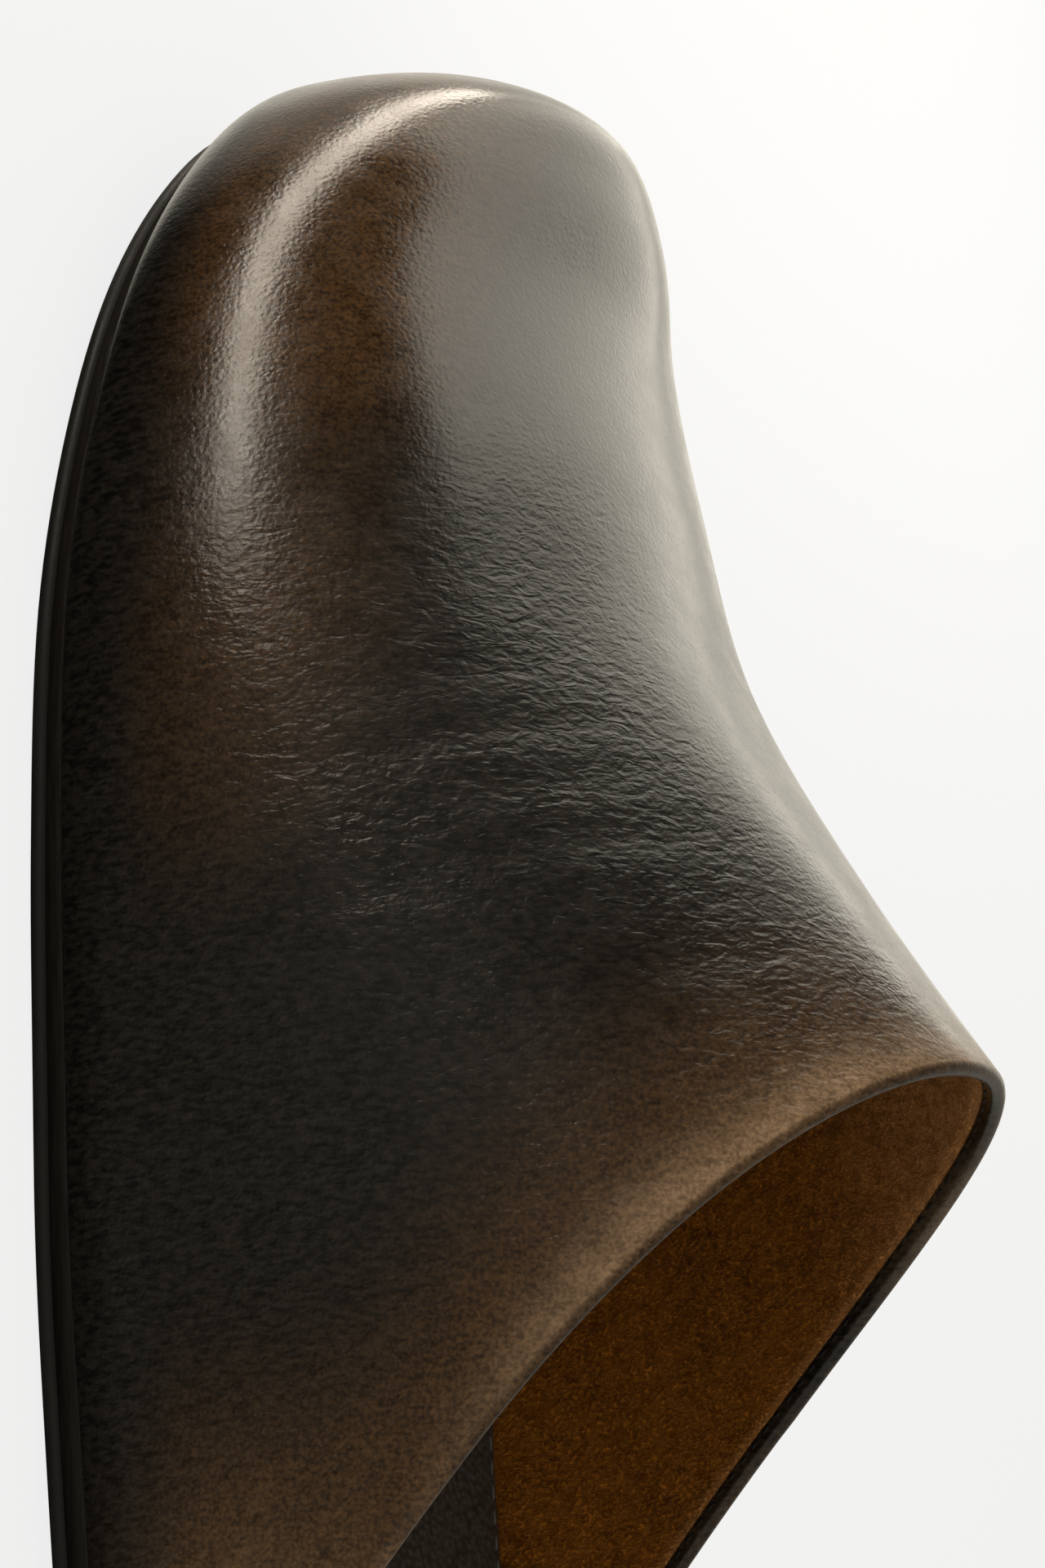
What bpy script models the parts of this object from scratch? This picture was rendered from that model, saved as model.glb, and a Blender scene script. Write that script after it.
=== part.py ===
"""Mule clog for the left foot: a moulded leather upper on a thin two-layer sole with a low heel.

The shoe is drawn in millimetres on its last, where "back" is the distance behind the toe tip,
x runs to the inner side of the foot and z is the height over the floor. It is then placed in
metres with +Y to the toe, +Z up and the origin on the floor under the middle of the shoe.
"""

from collections import namedtuple

import bmesh
import bpy
import numpy as np

# Driving sizes in millimetres
LAST_LENGTH = 270.0
BALL_BACK = 85.0
BALL_HALF_WIDTH = 48.0
TOE_SPRING = 6.0
SPRING_BACK = 75.0
HEEL_PITCH = 6.0
PITCH_START = 130.0
PITCH_END = 225.0

# Upper: wall, the swell of its lower edge over the sole, and the collar line seen from the side
WALL = 2.2
SWELL_HEIGHT = 6.0
THROAT_BACK = 118.8
THROAT_HEIGHT = 81.4
WING_BACK = 197.0
WING_HEIGHT = 4.0
COLLAR_BOW = 5.5
PUSH_BACK = 45.0
PUSH_HEIGHT = 13.0

# Sole layers, from the floor up, with the gap kept between pieces that touch
GAP = 0.3
OUTSOLE = 1.8
OUTSOLE_EDGE_ROUND = 1.0
SOLE_TOE = 3.3
SOLE_WAIST = 4.5
SOLE_FULL_BACK = 150.0
MIDSOLE_STEP = 0.3
HEEL_FRONT_BACK = 206.0
HEEL_EDGE_ROUND = 0.8
INSOLE_TOE = 5.0
INSOLE_WAIST = 9.2
INSOLE_RISE_START = 60.0
INSOLE_RISE_END = 150.0
INSOLE_DISH = 2.0
INSOLE_HEEL_CUP = 35.0
INSOLE_EDGE_ROUND = 2.0

# Plan of the last at its widest, a row per section: half widths from the long axis to each side
Plan = namedtuple("Plan", "back outer inner axis")
PLAN = [
    Plan(0, 0, 0, 5.1),
    Plan(4, 15, 15.5, 5.0),
    Plan(10, 25.5, 23.5, 4.5),
    Plan(20, 34.5, 32.5, 3.8),
    Plan(34, 41.5, 39, 2.6),
    Plan(52, 46, 43, 1.3),
    Plan(75, 48.5, 44.5, 0),
    Plan(98, 48.5, 42, 0),
    Plan(122, 47, 37.5, 0),
    Plan(150, 45, 33, 0),
    Plan(185, 43.5, 31.5, 0),
    Plan(228, 36, 31, 0),
    Plan(257, 25, 23, 0),
    Plan(LAST_LENGTH, 0, 0, 0),
]

# Crest of the last over its widest line, with the fullness of the section and the crest's side shift
Crest = namedtuple("Crest", "back height fullness shift")
CREST = [
    Crest(0, 0, 2.0, 0),
    Crest(4, 17.6, 2.0, 0),
    Crest(10, 27.5, 2.0, 0.5),
    Crest(20, 31.5, 2.05, 2.5),
    Crest(34, 33, 2.05, 4.0),
    Crest(52, 37.5, 2.1, 3.5),
    Crest(75, 44.5, 2.1, 3.0),
    Crest(98, 57.5, 2.0, 1.8),
    Crest(122, 73.5, 2.05, 1.0),
    Crest(150, 93.5, 2.23, 0.2),
]

# How far an edge lies inside the widest line, at the toe, at the ball and at the heel
Tuck = namedtuple("Tuck", "toe side heel")
FEATHER = Tuck(3.6, 2.1, 2.0)
INSOLE_EDGE = Tuck(6.9, 5.1, 3.6)

# Mesh density
UPPER_COLUMNS = 64
UPPER_ROWS = 22
TOE_DENSITY = 3.0
TOE_FADE = 30.0
SOLE_ROWS = 36
HEEL_ROWS = 10
SOLE_COLUMNS = 6
END_ANGLE = 0.2
SOLVE_STEPS = 34
REACH = 160.0
FLAT_TILT = 0.7
MM = 0.001


def station(back):
    """Angle along the last, 0 at the toe tip and pi at the heel, so both ends close roundly."""
    return np.arccos(np.clip(1 - 2 * back / LAST_LENGTH, -1, 1))


def back_of(angle):
    return (1 - np.cos(angle)) * LAST_LENGTH / 2


def column(table, name):
    return np.array([getattr(row, name) for row in table], float)


def fair(table, name, back):
    """Smooth cubic through one column of a table."""
    at = station(column(table, "back"))
    value = column(table, name)
    slope = np.gradient(value, at)
    x = np.clip(station(back), at[0], at[-1])
    i = np.clip(np.searchsorted(at, x) - 1, 0, len(at) - 2)
    span = at[i + 1] - at[i]
    t = (x - at[i]) / span
    start = (2 * t**3 - 3 * t**2 + 1) * value[i] + (t**3 - 2 * t**2 + t) * span * slope[i]
    end = (3 * t**2 - 2 * t**3) * value[i + 1] + (t**3 - t**2) * span * slope[i + 1]
    return start + end


def ease(x, start, end):
    q = np.clip((x - start) / (end - start), 0, 1)
    return q * q * (3 - 2 * q)


def sides(back):
    axis = fair(PLAN, "axis", back)
    outer = np.maximum(fair(PLAN, "outer", back), 0)
    inner = np.maximum(fair(PLAN, "inner", back), 0)
    return axis - outer, axis + inner, axis


def floor_gap(back):
    """Height of the sole's underside: toe spring in front, heel pitch behind, flat between them."""
    spring = TOE_SPRING * np.clip(1 - back / SPRING_BACK, 0, 1) ** 2
    return spring + HEEL_PITCH * ease(back, PITCH_START, PITCH_END)


def feather_height(back):
    thickness = SOLE_TOE + (SOLE_WAIST - SOLE_TOE) * np.clip(back / SOLE_FULL_BACK, 0, 1)
    return floor_gap(back) + thickness


def tuck_scale(back, tuck, share):
    """Scales across and along, about the ball, that draw the plan in by a share of a tuck."""
    behind = LAST_LENGTH - BALL_BACK
    along = np.where(back < BALL_BACK, tuck.toe / BALL_BACK, tuck.heel / behind)
    return 1 - share * tuck.side / BALL_HALF_WIDTH, 1 - share * along


def tucked(x, back, axis, tuck):
    across, along = tuck_scale(back, tuck, 1.0)
    return axis + (x - axis) * across, BALL_BACK + (back - BALL_BACK) * along


def outside_last(x, back, z):
    """True outside the last, whose sections are superellipses over a swelling lower wall."""
    swell = feather_height(np.clip(back, 0, LAST_LENGTH)) + SWELL_HEIGHT
    under = np.clip((swell - z) / SWELL_HEIGHT, 0, 1)
    across, along = tuck_scale(back, FEATHER, 1 - np.sqrt(1 - under * under))
    plan_back = BALL_BACK + (back - BALL_BACK) / along
    on_last = np.clip(plan_back, 0, LAST_LENGTH)
    outer, inner, axis = sides(on_last)
    plan_x = axis + (x - axis) / across
    crest = axis + fair(CREST, "shift", on_last)
    reach = np.where(plan_x < crest, crest - outer, inner - crest)
    height = np.maximum(fair(CREST, "height", on_last), 0.001)
    fullness = fair(CREST, "fullness", on_last)
    across_share = np.abs(plan_x - crest) / np.maximum(reach, 0.001)
    up_share = np.clip((z - swell) / height, 0, None)
    return (plan_back < 0) | (across_share**fullness + up_share**fullness > 1)


def walk_out(point_at, count):
    """Distance at which each of a set of rays leaves the last, found by halving."""
    near = np.zeros(count)
    far = np.full(count, REACH)
    for _ in range(SOLVE_STEPS):
        middle = (near + far) / 2
        out = outside_last(*point_at(middle))
        near = np.where(out, near, middle)
        far = np.where(out, middle, far)
    return point_at(near)


def feather_line(t):
    """Lower edge of the upper, t running from the outer wing (-1) round the toe to the inner one (1)."""
    back = back_of(np.abs(t) * station(WING_BACK))
    outer, inner, axis = sides(back)
    x, back = tucked(np.where(t < 0, outer, inner), back, axis, FEATHER)
    return x, back, feather_height(back)


def collar_line(t):
    """Collar: where a bowed sheet, seen on edge from the side, cuts the last."""
    low = feather_height(np.array(WING_BACK)) + WING_HEIGHT
    rise = np.pi / 2 * (1 - np.abs(t))
    side = np.where(t < 0, -1.0, 1.0)

    def on_sheet(distance):
        z = low + distance * np.sin(rise)
        share = (z - low) / (THROAT_HEIGHT - low)
        back = WING_BACK + (THROAT_BACK - WING_BACK) * share - COLLAR_BOW * 4 * share * (1 - share)
        return side * distance * np.cos(rise), back, z

    return walk_out(on_sheet, len(t))


def upper_surface(t, v):
    """Outer face of the upper between the feather line (v 0) and the collar (v 1)."""
    feather = np.array(feather_line(t))
    collar = np.array(collar_line(t))
    chord = feather + (collar - feather) * v
    core = np.array([np.zeros_like(t), np.maximum(PUSH_BACK, chord[1]), np.full_like(t, PUSH_HEIGHT)])
    aim = chord - core
    aim = aim / np.linalg.norm(aim, axis=0)
    pushed = np.array(walk_out(lambda distance: core + aim * distance, len(t)))
    return np.where(v <= 0, feather, np.where(v >= 1, collar, pushed))


def even_rows(t, share):
    """Chord share of each mesh row: rows are even along the leather, and closer together at the toe."""
    steps = np.linspace(0, 1, 160)
    result = np.empty_like(t)
    for value in np.unique(t):
        points = upper_surface(np.full_like(steps, value), steps)
        density = 1 + TOE_DENSITY * np.exp(-points[1] / TOE_FADE)
        pieces = np.linalg.norm(np.diff(points, axis=1), axis=0) * density[1:]
        length = np.concatenate([[0], np.cumsum(pieces)])
        here = t == value
        result[here] = np.interp(share[here], length / length[-1], steps)
    return result


def placed(x, back, z):
    """Last sizes to metres about the origin under the middle of the shoe."""
    outer, inner, _ = sides(np.linspace(0, LAST_LENGTH, 1000))
    middle_x = (outer.min() + inner.max()) / 2
    middle_back = (LAST_LENGTH - FEATHER.heel) / 2
    return np.stack([x - middle_x, middle_back - back, z], axis=-1) * MM


def grid_mesh(columns, rows, closed):
    """A flat grid from -1 to 1; a closed one is doubled at z 1 with its rim joined."""
    mesh = bmesh.new()
    bmesh.ops.create_grid(mesh, x_segments=columns, y_segments=rows, size=1.0)
    if closed:
        raised = bmesh.ops.extrude_face_region(mesh, geom=mesh.faces[:], use_keep_orig=True)["geom"]
        for item in raised:
            if isinstance(item, bmesh.types.BMVert):
                item.co.z = 1.0
    return mesh


def place_vertices(mesh, function):
    grid = np.array([vertex.co for vertex in mesh.verts])
    for vertex, point in zip(mesh.verts, placed(*function(*grid.T))):
        vertex.co = point


def round_rim(mesh, level, radius, segments):
    """Round the rim of one face of a closed sole layer: level -1 is the lower rim, 1 the upper."""
    mesh.normal_update()
    rim = []
    for edge in mesh.edges:
        tilts = [face.normal.z for face in edge.link_faces]
        if max(tilt * level for tilt in tilts) > FLAT_TILT and min(abs(tilt) for tilt in tilts) < FLAT_TILT:
            rim.append(edge)
    bmesh.ops.bevel(
        mesh, geom=rim, offset=radius * MM, segments=segments, profile=0.5, affect="EDGES"
    )


def add_object(name, mesh, collection, material):
    bmesh.ops.recalc_face_normals(mesh, faces=mesh.faces[:])
    data = bpy.data.meshes.new(name)
    mesh.to_mesh(data)
    mesh.free()
    data.shade_smooth()
    data.materials.append(material)
    part = bpy.data.objects.new(name, data)
    collection.objects.link(part)
    return part


def make_material(name, colour, roughness):
    material = bpy.data.materials.new(name)
    material.use_nodes = True
    shader = material.node_tree.nodes["Principled BSDF"]
    shader.inputs["Base Color"].default_value = (*colour, 1.0)
    shader.inputs["Roughness"].default_value = roughness
    shader.inputs["Metallic"].default_value = 0.0
    return material


def sole_plan(across, along, tuck, front):
    """Plan point of a sole layer's grid vertex: rows follow the last's stations, ends are rounded."""
    start = station(np.array(front)) if front > 0 else END_ANGLE
    angle = start + (np.pi - END_ANGLE - start) * (along + 1) / 2
    back = back_of(angle)
    outer, inner, axis = sides(back)
    end_sag = back_of(END_ANGLE) * (1 - across**2)
    back = np.where(along > 0.999, back + end_sag, back)
    if front <= 0:
        back = np.where(along < -0.999, back - end_sag, back)
    x = (outer + inner) / 2 + (inner - outer) / 2 * across
    return tucked(x, back, axis, tuck)


def make_outsole(collection):
    mesh = grid_mesh(SOLE_COLUMNS, SOLE_ROWS, closed=True)

    def form(across, along, level):
        x, back = sole_plan(across, along, FEATHER, 0)
        return x, back, floor_gap(back) + OUTSOLE * level

    place_vertices(mesh, form)
    round_rim(mesh, -1, OUTSOLE_EDGE_ROUND, 3)
    return add_object("outsole", mesh, collection, make_material("outsole", (0.012, 0.011, 0.011), 0.6))


def make_midsole(collection):
    mesh = grid_mesh(SOLE_COLUMNS, SOLE_ROWS, closed=True)
    edge = Tuck(*(amount + MIDSOLE_STEP for amount in FEATHER))

    def form(across, along, level):
        x, back = sole_plan(across, along, edge, 0)
        bottom = floor_gap(back) + OUTSOLE + GAP
        top = feather_height(back) - GAP
        return x, back, bottom + (top - bottom) * level

    place_vertices(mesh, form)
    return add_object("midsole", mesh, collection, make_material("midsole", (0.03, 0.024, 0.019), 0.5))


def make_heel(collection):
    mesh = grid_mesh(SOLE_COLUMNS, HEEL_ROWS, closed=True)

    def form(across, along, level):
        x, back = sole_plan(across, along, FEATHER, HEEL_FRONT_BACK)
        return x, back, (floor_gap(back) - GAP) * level

    place_vertices(mesh, form)
    round_rim(mesh, -1, HEEL_EDGE_ROUND, 2)
    return add_object("heel", mesh, collection, make_material("heel", (0.012, 0.011, 0.011), 0.6))


def make_insole(collection):
    mesh = grid_mesh(SOLE_COLUMNS, SOLE_ROWS, closed=True)

    def form(across, along, level):
        x, back = sole_plan(across, along, INSOLE_EDGE, 0)
        rise = ease(back, INSOLE_RISE_START, INSOLE_RISE_END)
        edge = INSOLE_TOE + (INSOLE_WAIST - INSOLE_TOE) * rise
        from_end = ease(LAST_LENGTH - back, INSOLE_EDGE.heel, INSOLE_HEEL_CUP)
        dish = INSOLE_DISH * rise * from_end * (1 - across**2)
        return x, back, feather_height(back) + (edge - dish) * level

    place_vertices(mesh, form)
    round_rim(mesh, 1, INSOLE_EDGE_ROUND, 3)
    return add_object("insole", mesh, collection, make_material("insole", (0.014, 0.013, 0.013), 0.45))


def make_upper(collection):
    mesh = grid_mesh(UPPER_COLUMNS, UPPER_ROWS, closed=False)

    def form(across, up, _):
        return upper_surface(-across, even_rows(-across, (up + 1) / 2))

    place_vertices(mesh, form)
    part = add_object("upper", mesh, collection, make_material("upper", (0.05, 0.034, 0.024), 0.35))
    shell = part.modifiers.new("wall", "SOLIDIFY")
    shell.thickness = WALL * MM
    shell.offset = -1.0
    shell.use_even_offset = True
    return part


def main():
    for item in list(bpy.data.objects):
        bpy.data.objects.remove(item, do_unlink=True)
    collection = bpy.data.collections.new("Mule clog")
    bpy.context.scene.collection.children.link(collection)
    make_outsole(collection)
    make_heel(collection)
    make_midsole(collection)
    make_insole(collection)
    make_upper(collection)


main()
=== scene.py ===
"""Looks of a mule clog for the left foot: waxed leather, suede lining and a stitched black footbed.

The shoe is drawn in millimetres on its last, where "back" is the distance behind the toe tip, x runs
to the inner side of the foot and z is the height over the floor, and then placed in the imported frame.
"""

from collections import namedtuple

import bmesh
import bpy
import numpy as np
from mathutils import Matrix, Vector


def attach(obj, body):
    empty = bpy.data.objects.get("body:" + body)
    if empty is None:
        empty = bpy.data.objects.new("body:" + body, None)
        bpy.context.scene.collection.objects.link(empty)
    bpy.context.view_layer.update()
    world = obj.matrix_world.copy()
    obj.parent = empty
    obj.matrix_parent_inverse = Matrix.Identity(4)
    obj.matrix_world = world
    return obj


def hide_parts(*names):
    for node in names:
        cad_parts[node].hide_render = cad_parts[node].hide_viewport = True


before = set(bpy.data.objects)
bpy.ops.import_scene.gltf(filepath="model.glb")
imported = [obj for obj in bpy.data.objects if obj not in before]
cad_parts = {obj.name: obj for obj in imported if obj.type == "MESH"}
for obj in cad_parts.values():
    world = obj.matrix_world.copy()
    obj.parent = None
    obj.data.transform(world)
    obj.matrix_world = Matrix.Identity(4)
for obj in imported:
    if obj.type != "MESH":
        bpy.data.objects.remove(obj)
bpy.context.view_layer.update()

MM = 0.001

# The stage: a plain pale floor in a room that is bright on the far side and dim on the near side, with
# a low strip light and soft panels round the toe. The camera lies on its side, so the toe points up in
# the picture, and looks at the outer flank from a little above, as close as for a detail picture.
CAMERA_TARGET = Vector((2.0, 49.6, 31.5)) * MM
CAMERA_DISTANCE = 338.0 * MM
CAMERA_ELEVATION = 23.84
CAMERA_TURN = 14.81
CAMERA_ROLL = -6.75
CAMERA_LENS = 73.0
FLOOR_HALF = 3.0
FLOOR_DROP = 0.2 * MM
FLOOR_GREY = (0.10, 0.10, 0.10, 1)
FLOOR_ROUGHNESS = 0.9
FLOOR_GLOW = 0.83
ROOM_COLOUR = (1.0, 0.945, 0.81)
BAND_COLOUR = (1.0, 0.89, 0.75)

Glow = namedtuple("Glow", "aim low high dark bright")
ROOM = [
    Glow((0.949, 0.316, 0.0), 0.90, 0.97, 0.0, 0.64),
    Glow((0.748, 0.524, -0.407), 0.80, 0.93, 0.0, 0.50),
    Glow((0.49, 0.853, -0.174), 0.78, 0.92, 0.0, 0.45),
    Glow((0.0, -0.75, 0.66), -0.6, 0.3, 0.01, 0.28),
    Glow((0.0, 0.0, 1.0), 0.15, 0.8, 0.0, -0.16),
]
Panel = namedtuple("Panel", "name centre aim width height power colour mirrored")
PANELS = [
    Panel(
        name="strip beyond the toe",
        centre=(-0.218, 0.694, 0.06),
        aim=(-0.023, 0.104, 0.028),
        width=1.15,
        height=0.11,
        power=2.9,
        colour=BAND_COLOUR,
        mirrored=True,
    ),
    Panel(
        name="softbox over the toe",
        centre=(0.191, 0.348, 0.13),
        aim=(0.191, 0.348, 0.0),
        width=0.462,
        height=0.412,
        power=1.15,
        colour=ROOM_COLOUR,
        mirrored=True,
    ),
    Panel(
        name="wall beyond the toe",
        centre=(0.402, 0.894, 0.09),
        aim=(0.002, 0.104, 0.035),
        width=0.9,
        height=0.16,
        power=0.54,
        colour=ROOM_COLOUR,
        mirrored=True,
    ),
    Panel(
        name="fill from behind",
        centre=(-0.15, -0.45, 0.40),
        aim=(0.0, 0.0, 0.03),
        width=0.90,
        height=0.60,
        power=2.8,
        colour=ROOM_COLOUR,
        mirrored=False,
    ),
]


def place_camera():
    rise, turn, roll = np.radians((CAMERA_ELEVATION, CAMERA_TURN, CAMERA_ROLL))
    behind = Vector((-np.cos(rise) * np.cos(turn), -np.cos(rise) * np.sin(turn), np.sin(rise)))
    level = Vector((0, 0, 1)).cross(behind).normalized()
    upright = behind.cross(level)
    right = np.cos(roll) * upright - np.sin(roll) * level
    up = -np.sin(roll) * upright - np.cos(roll) * level
    data = bpy.data.cameras.new("camera")
    data.lens = CAMERA_LENS
    camera = bpy.data.objects.new("camera", data)
    turned = Matrix((right, up, behind)).transposed().to_4x4()
    turned.translation = CAMERA_TARGET + behind * CAMERA_DISTANCE
    camera.matrix_world = turned
    bpy.context.scene.collection.objects.link(camera)
    bpy.context.scene.camera = camera


def hang_panel(panel):
    data = bpy.data.lights.new(panel.name, "AREA")
    data.shape = "RECTANGLE"
    data.size = panel.width
    data.size_y = panel.height
    data.energy = panel.power
    data.color = panel.colour
    light = bpy.data.objects.new(panel.name, data)
    light.location = panel.centre
    way = Vector(panel.aim) - Vector(panel.centre)
    light.rotation_euler = way.to_track_quat("-Z", "Y").to_euler()
    light.visible_camera = False
    light.visible_glossy = panel.mirrored
    bpy.context.scene.collection.objects.link(light)


def light_room():
    """A bright wall and floor on the far side, dim soft light over the near side, dark below."""
    world = bpy.data.worlds.new("studio")
    bpy.context.scene.world = world
    world.use_nodes = True
    tree = world.node_tree
    way = tree.nodes.new("ShaderNodeTexCoord").outputs["Generated"]
    background = tree.nodes["Background"]
    background.inputs["Color"].default_value = (*ROOM_COLOUR, 1.0)
    strength = background.inputs["Strength"]
    for glow in ROOM:
        along = tree.nodes.new("ShaderNodeVectorMath")
        along.operation = "DOT_PRODUCT"
        along.inputs[1].default_value = glow.aim
        ramp = tree.nodes.new("ShaderNodeMapRange")
        ramp.interpolation_type = "SMOOTHSTEP"
        ramp.inputs["From Min"].default_value = glow.low
        ramp.inputs["From Max"].default_value = glow.high
        ramp.inputs["To Min"].default_value = glow.dark
        ramp.inputs["To Max"].default_value = glow.bright
        total = tree.nodes.new("ShaderNodeMath")
        total.operation = "ADD"
        total.inputs[1].default_value = 0.0
        tree.links.new(way, along.inputs[0])
        tree.links.new(along.outputs["Value"], ramp.inputs["Value"])
        tree.links.new(ramp.outputs["Result"], total.inputs[0])
        tree.links.new(total.outputs["Value"], strength)
        strength = total.inputs[1]


def lay_floor():
    mesh = bmesh.new()
    bmesh.ops.create_grid(mesh, x_segments=1, y_segments=1, size=FLOOR_HALF)
    bmesh.ops.translate(mesh, verts=mesh.verts[:], vec=(0, 0, -FLOOR_DROP))
    data = bpy.data.meshes.new("floor")
    mesh.to_mesh(data)
    mesh.free()
    paper = bpy.data.materials.new("pale paper")
    paper.use_nodes = True
    shader = paper.node_tree.nodes["Principled BSDF"]
    shader.inputs["Base Color"].default_value = FLOOR_GREY
    shader.inputs["Roughness"].default_value = FLOOR_ROUGHNESS
    shader.inputs["Specular IOR Level"].default_value = 0.0
    shader.inputs["Emission Color"].default_value = (1, 1, 1, 1)
    shader.inputs["Emission Strength"].default_value = FLOOR_GLOW
    data.materials.append(paper)
    floor = bpy.data.objects.new("floor", data)
    floor.visible_glossy = False
    floor.visible_diffuse = False
    floor.visible_shadow = False
    bpy.context.scene.collection.objects.link(floor)


place_camera()
light_room()
lay_floor()
for soft_light in PANELS:
    hang_panel(soft_light)
bpy.context.scene.view_settings.view_transform = "Standard"

# Outsole: one thin sheet of black rubber, cut to the plan of the last with a little toe spring in front
# and a rise to the heel behind. Its lower edge is rounded off on the wheel.
LAST_LENGTH = 270.0
BALL_BACK = 85.0
BALL_HALF_WIDTH = 48.0
TOE_SPRING = 6.0
SPRING_BACK = 75.0
HEEL_PITCH = 6.0
PITCH_START = 130.0
PITCH_END = 225.0
SOLE_TOE = 3.3
SOLE_WAIST = 4.5
SOLE_FULL_BACK = 150.0
OUTSOLE = 1.8
SEAT = 0.15
OUTSOLE_EDGE_ROUND = 1.0
END_ANGLE = 0.2
END_ROW = 0.999
SOLE_COLUMNS = 12
SOLE_ROWS = 120
RIM_TILT = 0.7
RIM_SEGMENTS = 4
PLAN_SAMPLES = 1000
RUBBER_DARK = (0.006, 0.006, 0.006, 1)
RUBBER_DUSTY = (0.014, 0.013, 0.012, 1)

Plan = namedtuple("Plan", "back outer inner axis")
PLAN = [
    Plan(0, 0, 0, 5.1),
    Plan(4, 15, 15.5, 5.0),
    Plan(10, 25.5, 23.5, 4.5),
    Plan(20, 34.5, 32.5, 3.8),
    Plan(34, 41.5, 39, 2.6),
    Plan(52, 46, 43, 1.3),
    Plan(75, 48.5, 44.5, 0),
    Plan(98, 48.5, 42, 0),
    Plan(122, 47, 37.5, 0),
    Plan(150, 45, 33, 0),
    Plan(185, 43.5, 31.5, 0),
    Plan(228, 36, 31, 0),
    Plan(257, 25, 23, 0),
    Plan(LAST_LENGTH, 0, 0, 0),
]
Tuck = namedtuple("Tuck", "toe side heel")
FEATHER = Tuck(3.6, 2.1, 2.0)


def station(back):
    """Angle along the last, 0 at the toe tip and pi at the heel, so both ends close roundly."""
    return np.arccos(np.clip(1 - 2 * back / LAST_LENGTH, -1, 1))


def back_of(angle):
    return (1 - np.cos(angle)) * LAST_LENGTH / 2


def fair(table, name, back):
    """Smooth cubic through one column of a table."""
    at = station(np.array([row.back for row in table], float))
    value = np.array([getattr(row, name) for row in table], float)
    slope = np.gradient(value, at)
    x = np.clip(station(back), at[0], at[-1])
    i = np.clip(np.searchsorted(at, x) - 1, 0, len(at) - 2)
    span = at[i + 1] - at[i]
    t = (x - at[i]) / span
    start = (2 * t**3 - 3 * t**2 + 1) * value[i] + (t**3 - 2 * t**2 + t) * span * slope[i]
    end = (3 * t**2 - 2 * t**3) * value[i + 1] + (t**3 - t**2) * span * slope[i + 1]
    return start + end


def ease(x, start, end):
    q = np.clip((x - start) / (end - start), 0, 1)
    return q * q * (3 - 2 * q)


def sides(back):
    axis = fair(PLAN, "axis", back)
    outer = np.maximum(fair(PLAN, "outer", back), 0)
    inner = np.maximum(fair(PLAN, "inner", back), 0)
    return axis - outer, axis + inner, axis


def floor_gap(back):
    """Height of the sole's underside: toe spring in front, heel pitch behind, flat between them."""
    spring = TOE_SPRING * np.clip(1 - back / SPRING_BACK, 0, 1) ** 2
    return spring + HEEL_PITCH * ease(back, PITCH_START, PITCH_END)


def feather_height(back):
    thickness = SOLE_TOE + (SOLE_WAIST - SOLE_TOE) * np.clip(back / SOLE_FULL_BACK, 0, 1)
    return floor_gap(back) + thickness


def tuck_scale(back, tuck, share):
    """Scales across and along, about the ball, that draw the plan in by a share of a tuck."""
    behind = LAST_LENGTH - BALL_BACK
    along = np.where(back < BALL_BACK, tuck.toe / BALL_BACK, tuck.heel / behind)
    return 1 - share * tuck.side / BALL_HALF_WIDTH, 1 - share * along


def tucked(x, back, axis, tuck):
    across, along = tuck_scale(back, tuck, 1.0)
    return axis + (x - axis) * across, BALL_BACK + (back - BALL_BACK) * along


def sole_plan(across, along, tuck, front=0.0):
    """Plan point of a sole layer's grid vertex: rows follow the last's stations, ends are rounded."""
    start = station(np.array(front)) if front > 0 else END_ANGLE
    angle = start + (np.pi - END_ANGLE - start) * (along + 1) / 2
    back = back_of(angle)
    outer, inner, axis = sides(back)
    end_sag = back_of(END_ANGLE) * (1 - across**2)
    back = np.where(along > END_ROW, back + end_sag, back)
    if front <= 0:
        back = np.where(along < -END_ROW, back - end_sag, back)
    x = (outer + inner) / 2 + (inner - outer) / 2 * across
    return tucked(x, back, axis, tuck)


PLAN_OUTER, PLAN_INNER, _ = sides(np.linspace(0, LAST_LENGTH, PLAN_SAMPLES))
MIDDLE_X = (PLAN_OUTER.min() + PLAN_INNER.max()) / 2
MIDDLE_BACK = (LAST_LENGTH - FEATHER.heel) / 2


def placed(x, back, z):
    """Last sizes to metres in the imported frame."""
    return np.stack([x - MIDDLE_X, MIDDLE_BACK - back, z + 0 * x], axis=-1) * MM


def add_piece(name, mesh, finish, nodes=()):
    """Turn a bmesh into a piece that rides with the shoe and stands for the named solids."""
    data = bpy.data.meshes.new(name)
    mesh.to_mesh(data)
    mesh.free()
    data.shade_smooth()
    data.materials.append(finish)
    piece = bpy.data.objects.new(name, data)
    bpy.context.scene.collection.objects.link(piece)
    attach(piece, "root")
    if nodes:
        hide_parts(*nodes)
    return piece


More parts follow.
